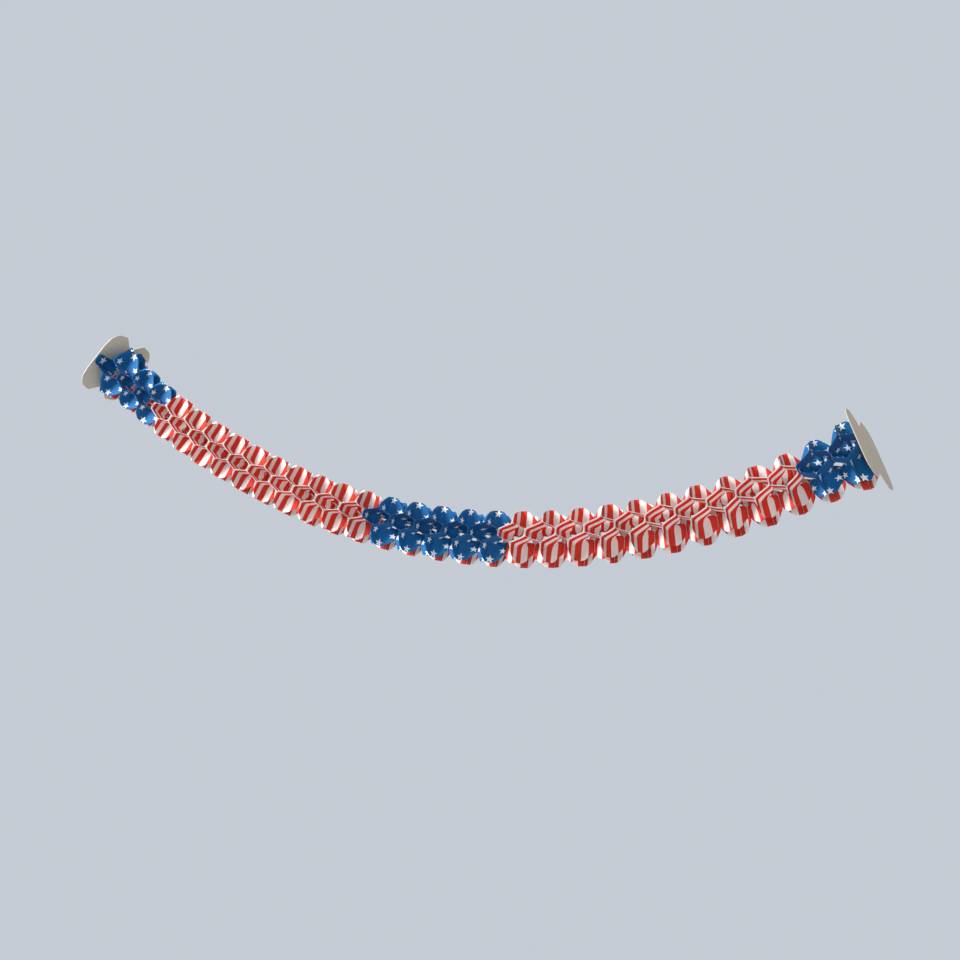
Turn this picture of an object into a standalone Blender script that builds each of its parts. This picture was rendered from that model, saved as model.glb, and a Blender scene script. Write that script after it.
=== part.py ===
"""A paper garland: tissue sheets glued by turns at their corners and at the middles of their sides.

The garland hangs in one upright plane. X runs along the span, Z is up, and -Y is the front.
The origin is on the axis of the left hanging hole, where the left end card meets the first sheet.
All lengths are in metres and all angles in radians.

Each sheet is a rounded square with a round hole, and a notch in the middle of its top and bottom.
Two sheets glued at their four corners make one cell, and cells are glued to each other at the
middles of their sides. Pulled out, the rim of a sheet runs in the plane of its corner glue,
climbs a slope of free paper to the plane of its side glue, and comes back down. The folds run in
from each side, square to it. The outline shrinks as the rim climbs, because paper doesn't stretch.

Each sheet is a solid of its own. Only in the first cell and the last one are the two sheets
joined into one solid, at their glued corners.
"""
import math

import bmesh
import bpy

# One flat sheet
SHEET_HALF = 0.059          # from the middle of the sheet to the middle of a side
SHEET_CORNER = 0.030        # radius of the rounded corners
NOTCH_DEPTH = 0.018         # notch in the middle of the top and bottom sides
NOTCH_REACH = 0.024         # from the middle of a notch to its end
HOLE_RADIUS = 0.012         # round hole in the middle
PAPER = 0.0003              # thickness of the tissue

# Glue, measured along the rim from its own middle
SIDE_GLUE = 0.006
CORNER_GLUE = 0.020
GLUE_GAP = 0.0003           # clear space between two glued faces
GLUED_HEIGHT = 1e-3         # a point this low, as a share of the half cell, is in the corner glue

# The folds from the sides keep their height down to this depth from the edge
FADE_START = 0.022

# How far the garland is pulled out
LEFT_SLOPE = math.radians(76)       # lean of the free rim in the first cell
RIGHT_SLOPE = math.radians(65)      # and in the last one, which carries less weight
SECTION_CORNER = 0.033              # corner radius of the pulled-in outline
HOLE_LIFT = 0.50                    # height of the hole's edge as a share of the half cell
MOST_CROWDED = 0.5                  # limit of the paper's crowding towards the hole

# The cells from left to right
BLOCKS = (("starred", 3), ("striped", 10), ("starred", 5), ("striped", 10), ("starred", 2))

# The hanging curve is a catenary
CURVE_RADIUS = 1.15         # its radius at the lowest point
LEFT_ARM = 1.15             # length of garland from the left card to the lowest point

# End cards, cut to the outline of a flat sheet
CARD_THICK = 0.0010
CARD_HOLE_RADIUS = 0.004
CARD_HOLD = 0.85            # how far a card holds its sheet open, from pulled in to flat
HOLD_REACH = 0.030          # distance from a card over which that fades away

COLOURS = {"striped": (0.62, 0.12, 0.09), "starred": (0.01, 0.09, 0.35), "card": (0.60, 0.52, 0.40)}

# Sizes that follow from these
RIM = SHEET_HALF - SHEET_CORNER + SHEET_CORNER * math.pi / 4    # middle of a side to a corner's middle
SLOPE = RIM - SIDE_GLUE - CORNER_GLUE                           # free rim between two glued lengths
SKIN = (PAPER + GLUE_GAP) / 2                                   # glue plane to the middle of the tissue
CELLS = sum(count for kind, count in BLOCKS)


def slope_angle(cell):
    """Lean of the free rims in a cell, counted from 0 at the left."""
    return LEFT_SLOPE + (RIGHT_SLOPE - LEFT_SLOPE) * cell / (CELLS - 1)


def half_cell(cell):
    """Length along the garland from a cell's corner glue to its side glue."""
    return SLOPE * math.sin(slope_angle(cell)) + 2 * SKIN


def section_half(cell):
    """Half width of a cell's pulled-in outline, before the notch."""
    rim = RIM - SLOPE * (1 - math.cos(slope_angle(cell)))
    return rim + SECTION_CORNER * (1 - math.pi / 4)


LENGTH = sum(2 * half_cell(cell) for cell in range(CELLS))


def edge_across(along, half, corner):
    """Across of a rounded square's edge at a place along its side: straight, then the arc."""
    beyond = max(along - (half - corner), 0.0)
    return half - corner + math.sqrt(max(corner ** 2 - beyond ** 2, 0.0))


def notch(along, turns):
    """Depth of the notch at a place along a flat side. Odd turns are the top and the bottom."""
    if turns % 2 == 0:
        return 0.0
    return NOTCH_DEPTH * (1 + math.cos(math.pi * min(along / NOTCH_REACH, 1.0))) / 2


def turned(across, along, turns):
    """Point (y, z) of a place on the side that turns picks, in quarter turns."""
    for _ in range(turns):
        across, along = -along, across
    return across, along


def rim_place(distance, turns):
    """Across and along of a flat sheet's edge, at a distance along its rim from a side's middle."""
    turn = max(abs(distance) - (SHEET_HALF - SHEET_CORNER), 0.0) / SHEET_CORNER
    along = min(abs(distance), SHEET_HALF - SHEET_CORNER) + SHEET_CORNER * math.sin(turn)
    across = edge_across(along, SHEET_HALF, SHEET_CORNER) - notch(along, turns)
    return across, math.copysign(along, distance)


def stations(distances):
    """Places around the whole rim, as (place, distance from the nearest side's middle, side)."""
    signed = {distance for distance in distances} | {-distance for distance in distances if distance < RIM}
    return [(2 * RIM * turns + distance, distance, turns) for turns in range(4) for distance in sorted(signed)]


def hang(along, y, z, ahead=0.0):
    """World position of an outline point, at a length along the curve from the left card.

    ahead moves the point on in a straight line, in the direction of the curve.
    """
    here = along - LEFT_ARM
    root = math.hypot(CURVE_RADIUS, here)
    level = CURVE_RADIUS / root
    climb = here / root
    span = CURVE_RADIUS * (math.asinh(here / CURVE_RADIUS) + math.asinh(LEFT_ARM / CURVE_RADIUS))
    rise = root - math.hypot(CURVE_RADIUS, LEFT_ARM)
    return span - z * climb + ahead * level, y, rise + z * level + ahead * climb


def held_open(along, half):
    """Widening of an outline of this half width near the end cards."""
    nearest = min(along, LENGTH - along)
    return 1 + CARD_HOLD * (SHEET_HALF / half - 1) * math.exp(-nearest / HOLD_REACH)


def ring_place(ring, distance, turns):
    """Across and along on the flat sheet of a point of its rim, its fold or its hole."""
    if ring == "rim":
        return rim_place(distance, turns)
    if ring == "hole":
        turn = math.pi / 4 * distance / RIM
        return HOLE_RADIUS * math.cos(turn), HOLE_RADIUS * math.sin(turn)
    if distance == RIM:
        return SHEET_HALF - FADE_START, SHEET_HALF - FADE_START
    return rim_place(distance, turns)[0] - FADE_START, distance


def drawn_in(cell, across, along, turns):
    """Place of a flat point in the pulled-in outline, as (across, along).

    The along loses what the slope takes. The across is spread between the diagonal and the
    outline by a square law, which keeps the paper's length at the rim and crowds it inwards.
    """
    run = abs(along)
    cut = notch(run, turns)
    width = edge_across(run, SHEET_HALF, SHEET_CORNER) - cut - run
    drawn = run - min(max(run - SIDE_GLUE, 0.0), SLOPE) * (1 - math.cos(slope_angle(cell)))
    drawn_width = edge_across(drawn, section_half(cell), SECTION_CORNER) - cut - drawn
    if min(width, drawn_width) <= 0.0:
        return drawn, math.copysign(drawn, along)
    out = min(max((across - run) / width, 0.0), 1.0)
    crowding = min(max(width / drawn_width - 1, 0.0), MOST_CROWDED)
    return drawn + drawn_width * out * (1 - crowding * (1 - out)), math.copysign(drawn, along)


def sheet_ring(cell, ring, distances):
    """One ring of a pulled-out sheet as (place, height, y, z).

    Height is 0 on the corner glue and 1 on the side glue.
    """
    points = []
    for place, distance, turns in stations(distances):
        across, along = ring_place(ring, distance, turns)
        height = min(max((RIM - CORNER_GLUE - abs(along)) / SLOPE, 0.0), 1.0)
        if height < GLUED_HEIGHT:
            height = 0.0
        if ring == "hole":
            height = HOLE_LIFT
        points.append((place, height, *turned(*drawn_in(cell, across, along, turns), turns)))
    return points


def fill_band(mesh, outer, inner):
    """Triangles between two closed rings of (place, vertex), leaving out those already there."""
    outer = outer + [(outer[0][0] + 8 * RIM, outer[0][1])]
    inner = inner + [(inner[0][0] + 8 * RIM, inner[0][1])]
    i = 0
    j = 0
    while i < len(outer) - 1 or j < len(inner) - 1:
        step_outer = j == len(inner) - 1
        if i < len(outer) - 1 and j < len(inner) - 1:
            step_outer = outer[i][0] + outer[i + 1][0] <= inner[j][0] + inner[j + 1][0]
        if step_outer:
            corners = (outer[i][1], outer[i + 1][1], inner[j][1])
            i += 1
        else:
            corners = (outer[i][1], inner[j + 1][1], inner[j][1])
            j += 1
        if mesh.faces.get(corners) is None:
            mesh.faces.new(corners)


def finish(mesh, name, kind):
    """Put a finished bmesh into the scene as a named object with its own paper material."""
    data = bpy.data.meshes.new(name)
    mesh.to_mesh(data)
    mesh.free()
    thing = bpy.data.objects.new(name, data)
    bpy.context.scene.collection.objects.link(thing)
    material = bpy.data.materials.new(name + "_paper")
    material.use_nodes = True
    shader = material.node_tree.nodes["Principled BSDF"]
    shader.inputs["Base Color"].default_value = (*COLOURS[kind], 1.0)
    shader.inputs["Roughness"].default_value = 0.75
    shader.inputs["Metallic"].default_value = 0.0
    data.materials.append(material)
    return thing


def sheet_surface(mesh, cell, corner_plane, direction, skin, glued):
    """Add the middle surface of one pulled-out sheet, which opens in direction from corner_plane.

    skin is its distance from corner_plane at the glued corners. glued holds the corner vertices
    that a sheet shares with the other one of a joined pair, by ring and place.
    """
    climb = half_cell(cell) - SKIN - skin
    rings = []
    for ring, distances in (("rim", (SIDE_GLUE, NOTCH_REACH, RIM - CORNER_GLUE, RIM)),
                            ("fold", (SIDE_GLUE, RIM)),
                            ("hole", (0.0, RIM))):
        corners = []
        for place, height, y, z in sheet_ring(cell, ring, distances):
            if (ring, place) in glued:
                corners.append((place, glued[ring, place]))
                continue
            along = corner_plane + direction * (skin + height * climb)
            wider = held_open(along, section_half(cell))
            vertex = mesh.verts.new(hang(along, y * wider, z * wider))
            corners.append((place, vertex))
            if skin == 0.0 and height == 0.0:
                glued[ring, place] = vertex
        rings.append(corners)
    fill_band(mesh, rings[0], rings[1])
    fill_band(mesh, rings[1], rings[2])


def thicken(sheet):
    """Give a sheet's middle surface the thickness of the tissue, half to each side."""
    tissue = sheet.modifiers.new("tissue", "SOLIDIFY")
    tissue.thickness = PAPER
    tissue.offset = 0.0
    tissue.solidify_mode = "NON_MANIFOLD"
    tissue.nonmanifold_thickness_mode = "CONSTRAINTS"


def tissue_sheet(name, kind, cell, corner_plane, direction):
    """One pulled-out sheet, with its corner glue in corner_plane and opening in direction."""
    mesh = bmesh.new()
    sheet_surface(mesh, cell, corner_plane, direction, SKIN, {})
    thicken(finish(mesh, name, kind))


def joined_pair(name, kind, cell, corner_plane):
    """Both sheets of a cell, grown together at their glued corners."""
    mesh = bmesh.new()
    glued = {}
    sheet_surface(mesh, cell, corner_plane, -1, 0.0, glued)
    sheet_surface(mesh, cell, corner_plane, 1, 0.0, glued)
    thicken(finish(mesh, name, kind))


def end_card(name, glue_plane, direction):
    """A stiff card with a small hanging hole in the middle, outside the sheet that it carries."""
    outline = []
    hole = []
    for place, distance, turns in stations((0.0, NOTCH_REACH / 2, NOTCH_REACH, RIM - CORNER_GLUE / 2, RIM)):
        outline.append(turned(*rim_place(distance, turns), turns))
        turn = math.pi / 4 * place / RIM
        hole.append((CARD_HOLE_RADIUS * math.cos(turn), CARD_HOLE_RADIUS * math.sin(turn)))
    mesh = bmesh.new()
    loops = []
    for ring, outside in ((outline, 0.0), (hole, 0.0), (hole, CARD_THICK), (outline, CARD_THICK)):
        ahead = direction * (GLUE_GAP / 2 + outside)
        loops.append([mesh.verts.new(hang(glue_plane, y, z, ahead)) for y, z in ring])
    for number, loop in enumerate(loops):
        other = loops[(number + 1) % len(loops)]
        for here in range(len(loop)):
            after = (here + 1) % len(loop)
            mesh.faces.new((loop[here], loop[after], other[after], other[here]))
    bmesh.ops.recalc_face_normals(mesh, faces=mesh.faces)
    finish(mesh, name, "card")


for thing in list(bpy.data.objects):
    bpy.data.objects.remove(thing)

kinds = [kind for kind, count in BLOCKS for _ in range(count)]
plane = 0.0
for cell, kind in enumerate(kinds):
    plane += half_cell(cell)
    first = 2 * cell + 1
    if cell in (0, CELLS - 1):
        joined_pair(f"{kind}_pair_{first:02d}_{first + 1:02d}", kind, cell, plane)
    else:
        tissue_sheet(f"{kind}_sheet_{first:02d}", kind, cell, plane, -1)
        tissue_sheet(f"{kind}_sheet_{first + 1:02d}", kind, cell, plane, 1)
    plane += half_cell(cell)
end_card("end_card_left", 0.0, -1)
end_card("end_card_right", LENGTH, 1)
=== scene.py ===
"""Looks of a hanging paper garland: fine tissue sheets, their print, the end cards and the studio.

Everything is in metres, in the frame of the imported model: X along the span, Z up, -Y the front,
and the origin on the axis of the left hanging hole. Each sheet of tissue is one smooth surface
over a grid of places around its rim and from its hole to its rim.
"""
import math

import bpy
import numpy as np
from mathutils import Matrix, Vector


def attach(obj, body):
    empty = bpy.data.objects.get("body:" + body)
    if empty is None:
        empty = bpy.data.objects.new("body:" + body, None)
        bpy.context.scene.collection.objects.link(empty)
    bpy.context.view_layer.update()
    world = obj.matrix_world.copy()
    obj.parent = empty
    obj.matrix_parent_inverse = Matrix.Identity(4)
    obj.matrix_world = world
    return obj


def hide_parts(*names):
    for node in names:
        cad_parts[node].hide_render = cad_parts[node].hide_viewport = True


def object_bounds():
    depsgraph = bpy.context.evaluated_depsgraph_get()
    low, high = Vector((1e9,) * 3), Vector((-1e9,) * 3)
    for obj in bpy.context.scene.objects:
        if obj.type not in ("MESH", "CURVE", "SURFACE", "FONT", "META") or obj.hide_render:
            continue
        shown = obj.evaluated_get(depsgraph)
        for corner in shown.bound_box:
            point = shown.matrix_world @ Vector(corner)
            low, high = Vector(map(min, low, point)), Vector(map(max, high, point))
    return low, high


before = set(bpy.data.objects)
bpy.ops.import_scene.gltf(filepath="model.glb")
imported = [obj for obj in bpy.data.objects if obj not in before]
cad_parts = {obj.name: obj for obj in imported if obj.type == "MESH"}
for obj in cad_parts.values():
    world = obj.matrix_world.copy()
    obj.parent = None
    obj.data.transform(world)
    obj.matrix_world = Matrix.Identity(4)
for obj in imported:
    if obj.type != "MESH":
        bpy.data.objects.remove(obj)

box_of_solids = [[float(value) for value in corner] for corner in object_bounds()]

# One flat sheet
SHEET_HALF = 0.059          # from the middle of the sheet to the middle of a side
SHEET_CORNER = 0.030        # radius of the rounded corners
NOTCH_DEPTH = 0.018         # deepest point of the notch in the middle of the top and bottom sides
NOTCH_REACH = 0.024         # from the middle of a notch to its end
HOLE_RADIUS = 0.012         # round hole in the middle
TISSUE = 0.0001             # thickness of the tissue

# Glue, measured along the rim from its own middle
SIDE_GLUE = 0.006
CORNER_GLUE = 0.020
SKIN = 0.0003               # glue plane to the middle of the tissue

# The folds run in from each side, square to it, and fade out at these depths from the edge
FADE_START = 0.022
FADE_END = 0.050

# How far the garland is pulled out
LEFT_SLOPE = math.radians(76)       # lean of the free rims at the left end
RIGHT_SLOPE = math.radians(65)      # and at the right end
SECTION_CORNER = 0.033      # corner radius of the pulled-in outline
HOLE_LIFT = 0.50            # height of the hole's edge as a share of the half cell
MOST_CROWDED = 0.5          # limit of the crowding towards the hole
RIM_SOFTNESS = 0.04         # rounding of the creases at the ends of the free rim

# The cells from left to right
BLOCKS = (("starred", 3), ("striped", 10), ("starred", 5), ("striped", 10), ("starred", 2))

# The hanging curve is a catenary
CURVE_RADIUS = 1.15         # radius of the curve at its lowest point
LEFT_ARM = 1.15             # length of curve from the left card to the lowest point
CARD_HOLD = 0.85            # how far a card holds its sheet open
HOLD_REACH = 0.030          # distance from a card over which that fades away

# Small unevenness of hand-opened tissue
TILT = 0.045                # lean of a glue plane, as a share of the distance from the curve
CURL = 0.0016               # waves in the free paper between two glued lengths
CURL_WAVES = 5              # waves around one sheet
LEAN_STEPS = (1.7, 2.3)     # step of the two leans' waves from one glue plane to the next, in radians
LEAN_STARTS = (0.4, 1.9)    # and where those waves start

# Grid of one sheet
AROUND = 128
ACROSS = 13

# Print
STRIPES = 12                # upright stripes across a flat sheet, half a white one at both edges
STAR_RADIUS = 0.0070
STAR_SPACING = 0.036        # between the stars of one row
STAR_SHIFT = 0.010          # of the whole pattern of stars, from the middle of the sheet to the front
STAR_WAIST = 0.40           # radius of a star's inner corners as a share of its points' radius
WHITE = (0.87, 0.82, 0.79, 1.0)
RED = (0.74, 0.056, 0.030, 1.0)
BLUE = (0.001, 0.105, 0.295, 1.0)
STAR_WHITE = (0.84, 0.86, 0.88, 1.0)
STRIPED_GLOW = 0.46         # share of light that the striped print lets through
STARRED_GLOW = 0.12         # and the darker starred print
BOARD_DARK = (0.47, 0.39, 0.29, 1.0)
BOARD_PALE = (0.58, 0.50, 0.39, 1.0)
BOARD_SPECK = (0.36, 0.29, 0.20, 1.0)

# Sizes that follow from these
RIM = SHEET_HALF - SHEET_CORNER + SHEET_CORNER * math.pi / 4
SLOPE = RIM - SIDE_GLUE - CORNER_GLUE
CELLS = sum(count for kind, count in BLOCKS)

# Camera at the photograph's angle
CAMERA_PLACE = (2.314, -2.910, -1.575)
CAMERA_YAW = math.radians(-28.30)
CAMERA_PITCH = math.radians(20.38)
CAMERA_LENS = 82.5          # on a sensor 36 wide

FLOOR_DROP = 2.4            # from the garland's lowest point down to the floor
FLOOR_WIDTH = 14.0
FLOOR_PAINT = (0.72, 0.74, 0.77, 1.0)
BACKDROP = (0.56, 0.60, 0.66, 1.0)
SKY = (0.90, 0.94, 1.0, 1.0)
SKY_LIGHT = 0.53

# Name, place from the garland's middle, width and power of each lamp
LAMPS = (("key", (-1.2, -2.1, 0.7), 0.8, 140.0),
         ("fill", (1.2, -1.9, -0.8), 1.6, 18.0),
         ("back", (0.2, 2.0, 1.0), 1.6, 30.0))


def slope_angle(cell):
    """Lean of the free rims in a cell, in even steps from the left end to the right one."""
    return LEFT_SLOPE + (RIGHT_SLOPE - LEFT_SLOPE) * cell / (CELLS - 1)


def half_cell(cell):
    """Length along the garland from a cell's corner glue to its side glue."""
    return SLOPE * math.sin(slope_angle(cell)) + 2 * SKIN


def section_half(cell):
    """Half width of a cell's pulled-in outline: its rim's run, plus what the corner's arc saves."""
    run = RIM - SLOPE * (1 - math.cos(slope_angle(cell)))
    return run + SECTION_CORNER * (1 - math.pi / 4)


LENGTH = sum(2 * half_cell(cell) for cell in range(CELLS))


def soft_clamp(value, softness):
    """A value held between 0 and 1 with rounded knees: the difference of two softened ramps."""
    low = softness * np.logaddexp(0.0, value / softness)
    high = softness * np.logaddexp(0.0, (value - 1.0) / softness)
    return low - high


def edge_across(along, half, corner, notch):
    """Across of a rounded square's edge at a place along its side: straight, then the arc."""
    beyond = np.maximum(along - (half - corner), 0.0)
    return half - corner + np.sqrt(np.maximum(corner ** 2 - beyond ** 2, 0.0)) - notch


def sheet_grid(cell):
    """One sheet as arrays over (around, across): height, section y and z, flat y and z.

    A flat place has an across, towards its nearest side, and an along, beside that side's middle.
    Height is 0 on the corner glue and 1 on the side glue, and near the rim it is a softened ramp
    of the along alone, so the folds run square to the side. Inwards it fades to the hole's lift.
    The along is pulled in by what the ramp's slope takes. The across is spread between the
    diagonal and the pulled-in edge by a square law, which keeps the paper's length at the rim and
    crowds it towards the hole.
    """
    run = np.arange(AROUND) * 8 * RIM / AROUND
    side = np.floor((run + RIM) / (2 * RIM))
    signed = run - 2 * RIM * side
    turn = np.maximum(np.abs(signed) - (SHEET_HALF - SHEET_CORNER), 0.0) / SHEET_CORNER
    rim_along = np.minimum(np.abs(signed), SHEET_HALF - SHEET_CORNER) + SHEET_CORNER * np.sin(turn)
    deepest = np.where(side % 2 == 1, NOTCH_DEPTH, 0.0)[:, None]

    def notch(along):
        """Depth of the notch at a place along its side: half a cosine wave, down to 0 at its end."""
        return deepest * (1 + np.cos(math.pi * np.minimum(along / NOTCH_REACH, 1.0))) / 2

    rim_across = edge_across(rim_along[:, None], SHEET_HALF, SHEET_CORNER, notch(rim_along[:, None]))[:, 0]
    rim_radius = np.hypot(rim_across, rim_along)
    share = np.linspace(0.0, 1.0, ACROSS)[None, :]
    flat_radius = HOLE_RADIUS + (rim_radius - HOLE_RADIUS)[:, None] * share
    across = flat_radius * (rim_across / rim_radius)[:, None]
    along = flat_radius * (rim_along / rim_radius)[:, None]

    half = section_half(cell)
    edge = edge_across(along, SHEET_HALF, SHEET_CORNER, notch(along))
    drawn = along - np.clip(along - SIDE_GLUE, 0.0, SLOPE) * (1 - math.cos(slope_angle(cell)))
    drawn_edge = edge_across(drawn, half, SECTION_CORNER, notch(along))
    width = np.maximum(edge - along, 1e-6)
    drawn_width = np.maximum(drawn_edge - drawn, 1e-6)
    out = np.clip((across - along) / width, 0.0, 1.0)
    crowding = np.clip(width / drawn_width - 1, 0.0, MOST_CROWDED)
    drawn_across = drawn + drawn_width * out * (1 - crowding * (1 - out))

    fade = np.clip((edge - across - FADE_START) / (FADE_END - FADE_START), 0.0, 1.0)
    fade = fade * fade * (3 - 2 * fade)
    ramp = soft_clamp((RIM - CORNER_GLUE - along) / SLOPE, RIM_SOFTNESS)
    height = ramp + (HOLE_LIFT - ramp) * fade

    sign = np.sign(signed)[:, None]
    quarter = side[:, None] * math.pi / 2
    section_turn = np.arctan2(drawn * sign, drawn_across) + quarter
    flat_turn = np.arctan2(along * sign, across) + quarter
    section = np.hypot(drawn_across, drawn)
    flat = np.hypot(across, along)
    return (height, section * np.cos(section_turn), section * np.sin(section_turn),
            flat * np.cos(flat_turn), flat * np.sin(flat_turn))


def plane_lean(number):
    """Lean of a glue plane about both of its axes, a slow wave along the garland."""
    return tuple(TILT * math.sin(step * number + start) for step, start in zip(LEAN_STEPS, LEAN_STARTS))


def hang(along, y, z):
    """Points in the upright plane of the catenary: along is the length of curve from the left card.

    x is the span of the curve there less z times its climb, and height is its rise plus z times
    its level share.
    """
    here = along - LEFT_ARM
    root = np.hypot(CURVE_RADIUS, here)
    span = CURVE_RADIUS * (np.arcsinh(here / CURVE_RADIUS) + math.asinh(LEFT_ARM / CURVE_RADIUS))
    rise = root - math.hypot(CURVE_RADIUS, LEFT_ARM)
    return np.stack([span - z * here / root, y, rise + z * CURVE_RADIUS / root], -1)


def sheet_points(cell, corner_plane, direction):
    """Middle surface of one hung sheet, with the flat place of each of its points.

    Each glue plane leans a little as a whole, and a point between two planes takes a share of
    both leans by its height. The free paper curls in waves that vanish on the glue.
    """
    height, y, z, flat_y, flat_z = sheet_grid(cell)
    number = 2 * cell + 1
    beyond = number + direction
    corner_lean = plane_lean(number)
    side_lean = plane_lean(beyond) if 0 < beyond < 2 * CELLS else (0.0, 0.0)
    lean = (1 - height) * (corner_lean[0] * y + corner_lean[1] * z)
    lean = lean + height * (side_lean[0] * y + side_lean[1] * z)
    around = np.arctan2(flat_z, flat_y)
    curl = CURL * 4 * height * (1 - height) * np.sin(CURL_WAVES * around + 2.1 * number + direction)
    along = corner_plane + direction * (SKIN + height * (half_cell(cell) - 2 * SKIN)) + lean + curl
    nearest = np.clip(np.minimum(along, LENGTH - along), 0.0, None)
    wider = 1 + CARD_HOLD * (SHEET_HALF / section_half(cell) - 1) * np.exp(-nearest / HOLD_REACH)
    return hang(along, y * wider, z * wider), np.stack([flat_y, flat_z], -1)


def closed_sheet(points):
    """A thin closed shell: the grid moved half the thickness to both sides, with its edges joined.

    The normal is the cross product of the steps around and across the grid.
    """
    around = np.roll(points, -1, 0) - np.roll(points, 1, 0)
    across = np.gradient(points, axis=1)
    normal = np.cross(around, across)
    normal /= np.linalg.norm(normal, axis=2, keepdims=True)
    both = np.concatenate([points + normal * TISSUE / 2, points - normal * TISSUE / 2]).reshape(-1, 3)
    here, step = np.meshgrid(np.arange(AROUND), np.arange(ACROSS - 1), indexing="ij")
    after = (here + 1) % AROUND
    face = np.stack([here * ACROSS + step, after * ACROSS + step,
                     after * ACROSS + step + 1, here * ACROSS + step + 1], -1).reshape(-1, 4)
    back = AROUND * ACROSS
    first = np.arange(AROUND) * ACROSS
    second = np.roll(first, -1)
    last = ACROSS - 1
    hole = np.stack([first, first + back, second + back, second], -1)
    rim = np.stack([first + last, second + last, second + last + back, first + last + back], -1)
    return both, np.concatenate([face, face[:, ::-1] + back, hole, rim])


def tissue_piece(name, node, material, cell, corner_plane, direction):
    """Put one sheet of tissue into the scene, in the place of its solid."""
    points, flat = sheet_points(cell, corner_plane, direction)
    vertices, faces = closed_sheet(points)
    mesh = bpy.data.meshes.new(name)
    mesh.from_pydata(vertices.tolist(), [], faces.tolist())
    mesh.shade_smooth()
    corners = np.empty(len(mesh.loops), np.int32)
    mesh.loops.foreach_get("vertex_index", corners)
    flat_map = mesh.uv_layers.new(name="flat")
    flat_map.data.foreach_set("uv", np.concatenate([flat, flat]).reshape(-1, 2)[corners].ravel())
    mesh.materials.append(material)
    piece = bpy.data.objects.new(name, mesh)
    bpy.context.scene.collection.objects.link(piece)
    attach(piece, "root")
    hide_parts(node)


class Nodes:
    """Short calls that add shader nodes and join them."""

    def __init__(self, material):
        """Start from the material's own shader and output."""
        material.use_nodes = True
        self.tree = material.node_tree
        self.shader = self.tree.nodes["Principled BSDF"]
        self.output = self.tree.nodes["Material Output"]

    def add(self, kind, inputs=(), **settings):
        """A node with settings, and with inputs as (socket, value or output)."""
        node = self.tree.nodes.new(kind)
        for key, value in settings.items():
            setattr(node, key, value)
        for socket, value in inputs:
            self.join(value, node.inputs[socket])
        return node

    def join(self, value, socket):
        """Link an output to a socket, or set the socket's own value."""
        if isinstance(value, bpy.types.NodeSocket):
            self.tree.links.new(value, socket)
        else:
            socket.default_value = value

    def math(self, operation, *values):
        """Result of one Math node."""
        return self.add("ShaderNodeMath", list(enumerate(values)), operation=operation).outputs[0]

    def mix(self, share, first, second):
        """Colour between two colours."""
        node = self.add("ShaderNodeMix", ((0, share), (6, first), (7, second)), data_type="RGBA")
        return node.outputs[2]

    def noise(self, place, scale, detail):
        """Smooth noise between 0 and 1."""
        inputs = (("Vector", place), ("Scale", scale), ("Detail", detail))
        return self.add("ShaderNodeTexNoise", inputs).outputs[0]

    def spread(self, noise, low, high):
        """The middle of a noise, from 0.3 to 0.7, spread evenly from low to high."""
        ends = (("From Min", 0.3), ("From Max", 0.7), ("To Min", low), ("To Max", high))
        return self.add("ShaderNodeMapRange", (("Value", noise), *ends)).outputs[0]

    def bump(self, relief, strength, depth):
        """Small relief on the shader's surface, also handed back for other shaders."""
        inputs = (("Strength", strength), ("Distance", depth), ("Height", relief))
        normal = self.add("ShaderNodeBump", inputs).outputs[0]
        self.join(normal, self.shader.inputs["Normal"])
        return normal


def star_mask(nodes, across, up):
    """1 inside five-pointed stars on a staggered lattice, and 0 outside them.

    The lattice is square and turned by an eighth of a turn: the sum and difference of the two
    places are rounded to find the nearest star. The angle around it is folded to a tenth of a
    turn, where the star's edge is one straight line.
    """
    total = nodes.math("DIVIDE", nodes.math("ADD", across, up), STAR_SPACING)
    difference = nodes.math("DIVIDE", nodes.math("SUBTRACT", across, up), STAR_SPACING)
    total = nodes.math("ROUND", total)
    difference = nodes.math("ROUND", difference)
    centre_across = nodes.math("MULTIPLY", nodes.math("ADD", total, difference), STAR_SPACING / 2)
    centre_up = nodes.math("MULTIPLY", nodes.math("SUBTRACT", total, difference), STAR_SPACING / 2)
    off_across = nodes.math("SUBTRACT", across, centre_across)
    off_up = nodes.math("SUBTRACT", up, centre_up)
    turns = nodes.math("DIVIDE", nodes.math("ARCTAN2", off_across, off_up), 2 * math.pi / 5)
    folded = nodes.math("ABSOLUTE", nodes.math("SUBTRACT", turns, nodes.math("ROUND", turns)))
    folded = nodes.math("MULTIPLY", folded, 2 * math.pi / 5)
    waist = STAR_WAIST * STAR_RADIUS
    down = STAR_RADIUS - waist * math.cos(math.pi / 5)
    out = waist * math.sin(math.pi / 5)
    lean = math.atan2(down, out)
    edge = STAR_RADIUS * math.cos(lean)
    squares = [nodes.math("POWER", off, 2.0) for off in (off_across, off_up)]
    reach = nodes.math("SQRT", nodes.math("ADD", *squares))
    to_edge = nodes.math("MULTIPLY", reach, nodes.math("COSINE", nodes.math("SUBTRACT", folded, lean)))
    return nodes.math("LESS_THAN", to_edge, edge)


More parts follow.
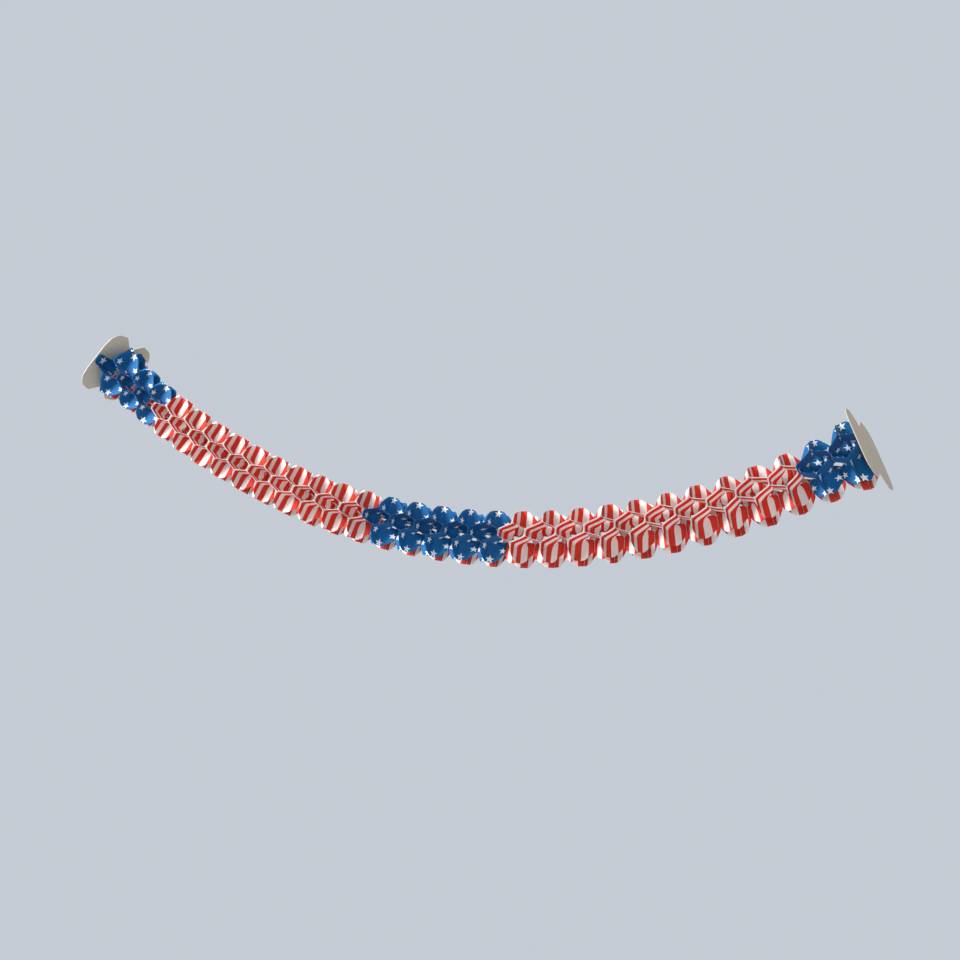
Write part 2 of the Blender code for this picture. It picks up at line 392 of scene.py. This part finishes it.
def tissue_print(name, starred):
    """Printed tissue: stripes or stars by the flat place, cloudy ink, fibres and creases to the hole.

    The starred print keeps its stripes in the lower back quarter of the sheet.
    """
    material = bpy.data.materials.new(name)
    nodes = Nodes(material)
    flat = nodes.add("ShaderNodeUVMap", uv_map="flat").outputs[0]
    place = nodes.add("ShaderNodeSeparateXYZ", ((0, flat),))
    across = place.outputs[0]
    up = place.outputs[1]
    body = nodes.add("ShaderNodeTexCoord").outputs["Object"]

    stripe = 2 * SHEET_HALF / STRIPES
    pairs = nodes.math("DIVIDE", nodes.math("ADD", across, SHEET_HALF), 2 * stripe)
    from_red = nodes.math("ABSOLUTE", nodes.math("SUBTRACT", nodes.math("FRACT", pairs), 0.5))
    printed = nodes.math("LESS_THAN", from_red, 0.25)
    colour = nodes.mix(printed, WHITE, RED)
    if starred:
        shifted = nodes.math("ADD", across, STAR_SHIFT)
        field = nodes.mix(star_mask(nodes, shifted, up), BLUE, STAR_WHITE)
        front = nodes.math("LESS_THAN", across, 0.0)
        upper = nodes.math("GREATER_THAN", up, 0.0)
        colour = nodes.mix(nodes.math("MAXIMUM", front, upper), colour, field)

    clouds = nodes.noise(body, 22.0, 3.0)
    fibres = nodes.noise(flat, 900.0, 2.0)
    shade = nodes.spread(clouds, 0.90, 1.04)
    fleck = nodes.spread(fibres, 0.96, 1.03)
    tone = nodes.math("MULTIPLY", shade, fleck)
    grey = nodes.add("ShaderNodeCombineXYZ", ((0, tone), (1, tone), (2, tone))).outputs[0]
    toned = nodes.add("ShaderNodeVectorMath", ((0, colour), (1, grey)), operation="MULTIPLY").outputs[0]
    nodes.join(toned, nodes.shader.inputs["Base Color"])
    nodes.shader.inputs["Roughness"].default_value = 0.62
    nodes.shader.inputs["Specular IOR Level"].default_value = 0.22
    nodes.shader.inputs["Sheen Weight"].default_value = 0.05
    nodes.shader.inputs["Sheen Roughness"].default_value = 0.5

    way = nodes.add("ShaderNodeVectorMath", ((0, flat),), operation="NORMALIZE").outputs[0]
    creases = nodes.noise(way, 16.0, 2.0)
    crumple = nodes.noise(body, 70.0, 3.0)
    relief = nodes.math("ADD", creases, nodes.math("MULTIPLY", crumple, 0.6))
    relief = nodes.math("ADD", relief, nodes.math("MULTIPLY", fibres, 0.08))
    bump = nodes.bump(relief, 0.45, 0.0011)

    glow = nodes.add("ShaderNodeBsdfTranslucent", ((0, toned), (1, bump))).outputs[0]
    through = STARRED_GLOW if starred else STRIPED_GLOW
    print_and_glow = ((0, through), (1, nodes.shader.outputs[0]), (2, glow))
    whole = nodes.add("ShaderNodeMixShader", print_and_glow).outputs[0]
    nodes.join(whole, nodes.output.inputs["Surface"])
    return material


def card_board():
    """Uncoated board: a warm grey mottled by pulp, with small dark specks and a faint tooth."""
    material = bpy.data.materials.new("end_card_board")
    nodes = Nodes(material)
    body = nodes.add("ShaderNodeTexCoord").outputs["Object"]
    pulp = nodes.noise(body, 130.0, 5.0)
    specks = nodes.noise(body, 700.0, 2.0)
    speck = nodes.math("MULTIPLY", nodes.math("GREATER_THAN", specks, 0.66), 0.5)
    colour = nodes.mix(pulp, BOARD_DARK, BOARD_PALE)
    nodes.join(nodes.mix(speck, colour, BOARD_SPECK), nodes.shader.inputs["Base Color"])
    nodes.shader.inputs["Roughness"].default_value = 0.85
    nodes.bump(pulp, 0.35, 0.0003)
    return material


def hang_tissue():
    """Every sheet of the garland, cell by cell from the left card."""
    materials = {"striped": tissue_print("striped_tissue", False),
                 "starred": tissue_print("starred_tissue", True)}
    kinds = [kind for kind, count in BLOCKS for _ in range(count)]
    plane = 0.0
    for cell, kind in enumerate(kinds):
        plane += half_cell(cell)
        first = 2 * cell + 1
        pair = f"{kind}_pair_{first:02d}_{first + 1:02d}"
        for number, direction in ((first, -1), (first + 1, 1)):
            node = pair if cell in (0, CELLS - 1) else f"{kind}_sheet_{number:02d}"
            tissue_piece(f"{kind}_tissue_{number:02d}", node, materials[kind],
                         cell, plane, direction)
        plane += half_cell(cell)


def dress_cards():
    """Board on both end cards, whose solids already have the right shape."""
    board = card_board()
    for side in ("left", "right"):
        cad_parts["end_card_" + side].material_slots[0].material = board


def studio():
    """A pale floor far below, a pale backdrop for the camera and for gloss, and soft lamps."""
    low, high = box_of_solids
    middle = Vector(((low[0] + high[0]) / 2, 0.0, (low[2] + high[2]) / 2))
    reach = FLOOR_WIDTH / 2
    level = low[2] - FLOOR_DROP
    mesh = bpy.data.meshes.new("floor")
    corners = ((-1, -1), (1, -1), (1, 1), (-1, 1))
    mesh.from_pydata([(middle.x + a * reach, b * reach, level) for a, b in corners], [], [(0, 1, 2, 3)])
    floor = bpy.data.objects.new("floor", mesh)
    bpy.context.scene.collection.objects.link(floor)
    paint = bpy.data.materials.new("floor_paint")
    nodes = Nodes(paint)
    nodes.shader.inputs["Base Color"].default_value = FLOOR_PAINT
    nodes.shader.inputs["Roughness"].default_value = 0.9
    mesh.materials.append(paint)

    for name, offset, size, power in LAMPS:
        lamp = bpy.data.lights.new(name, "AREA")
        lamp.energy = power
        lamp.size = size
        holder = bpy.data.objects.new(name, lamp)
        holder.location = middle + Vector(offset)
        holder.rotation_euler = (-Vector(offset)).to_track_quat("-Z", "Y").to_euler()
        bpy.context.scene.collection.objects.link(holder)

    world = bpy.data.worlds.new("studio")
    world.use_nodes = True
    tree = world.node_tree
    rays = tree.nodes.new("ShaderNodeLightPath")
    seen = tree.nodes.new("ShaderNodeMath")
    seen.operation = "MAXIMUM"
    tree.links.new(rays.outputs["Is Camera Ray"], seen.inputs[0])
    shiny = tree.nodes.new("ShaderNodeMath")
    shiny.operation = "MAXIMUM"
    tree.links.new(rays.outputs["Is Glossy Ray"], shiny.inputs[0])
    tree.links.new(rays.outputs["Is Transmission Ray"], shiny.inputs[1])
    tree.links.new(shiny.outputs[0], seen.inputs[1])
    light = tree.nodes["Background"]
    light.inputs["Color"].default_value = SKY
    light.inputs["Strength"].default_value = SKY_LIGHT
    backdrop = tree.nodes.new("ShaderNodeBackground")
    backdrop.inputs["Color"].default_value = BACKDROP
    backdrop.inputs["Strength"].default_value = 1.0
    mix = tree.nodes.new("ShaderNodeMixShader")
    tree.links.new(seen.outputs[0], mix.inputs[0])
    tree.links.new(light.outputs[0], mix.inputs[1])
    tree.links.new(backdrop.outputs[0], mix.inputs[2])
    tree.links.new(mix.outputs[0], tree.nodes["World Output"].inputs[0])
    bpy.context.scene.world = world
    bpy.context.scene.view_settings.view_transform = "Standard"


def camera():
    """The camera, aimed by its yaw from +Y and its pitch above the level."""
    data = bpy.data.cameras.new("camera")
    data.lens = CAMERA_LENS
    holder = bpy.data.objects.new("camera", data)
    holder.location = CAMERA_PLACE
    level = math.cos(CAMERA_PITCH)
    aim = Vector((math.sin(CAMERA_YAW) * level, math.cos(CAMERA_YAW) * level, math.sin(CAMERA_PITCH)))
    holder.rotation_euler = aim.to_track_quat("-Z", "Y").to_euler()
    bpy.context.scene.collection.objects.link(holder)
    bpy.context.scene.camera = holder


hang_tissue()
dress_cards()
studio()
camera()
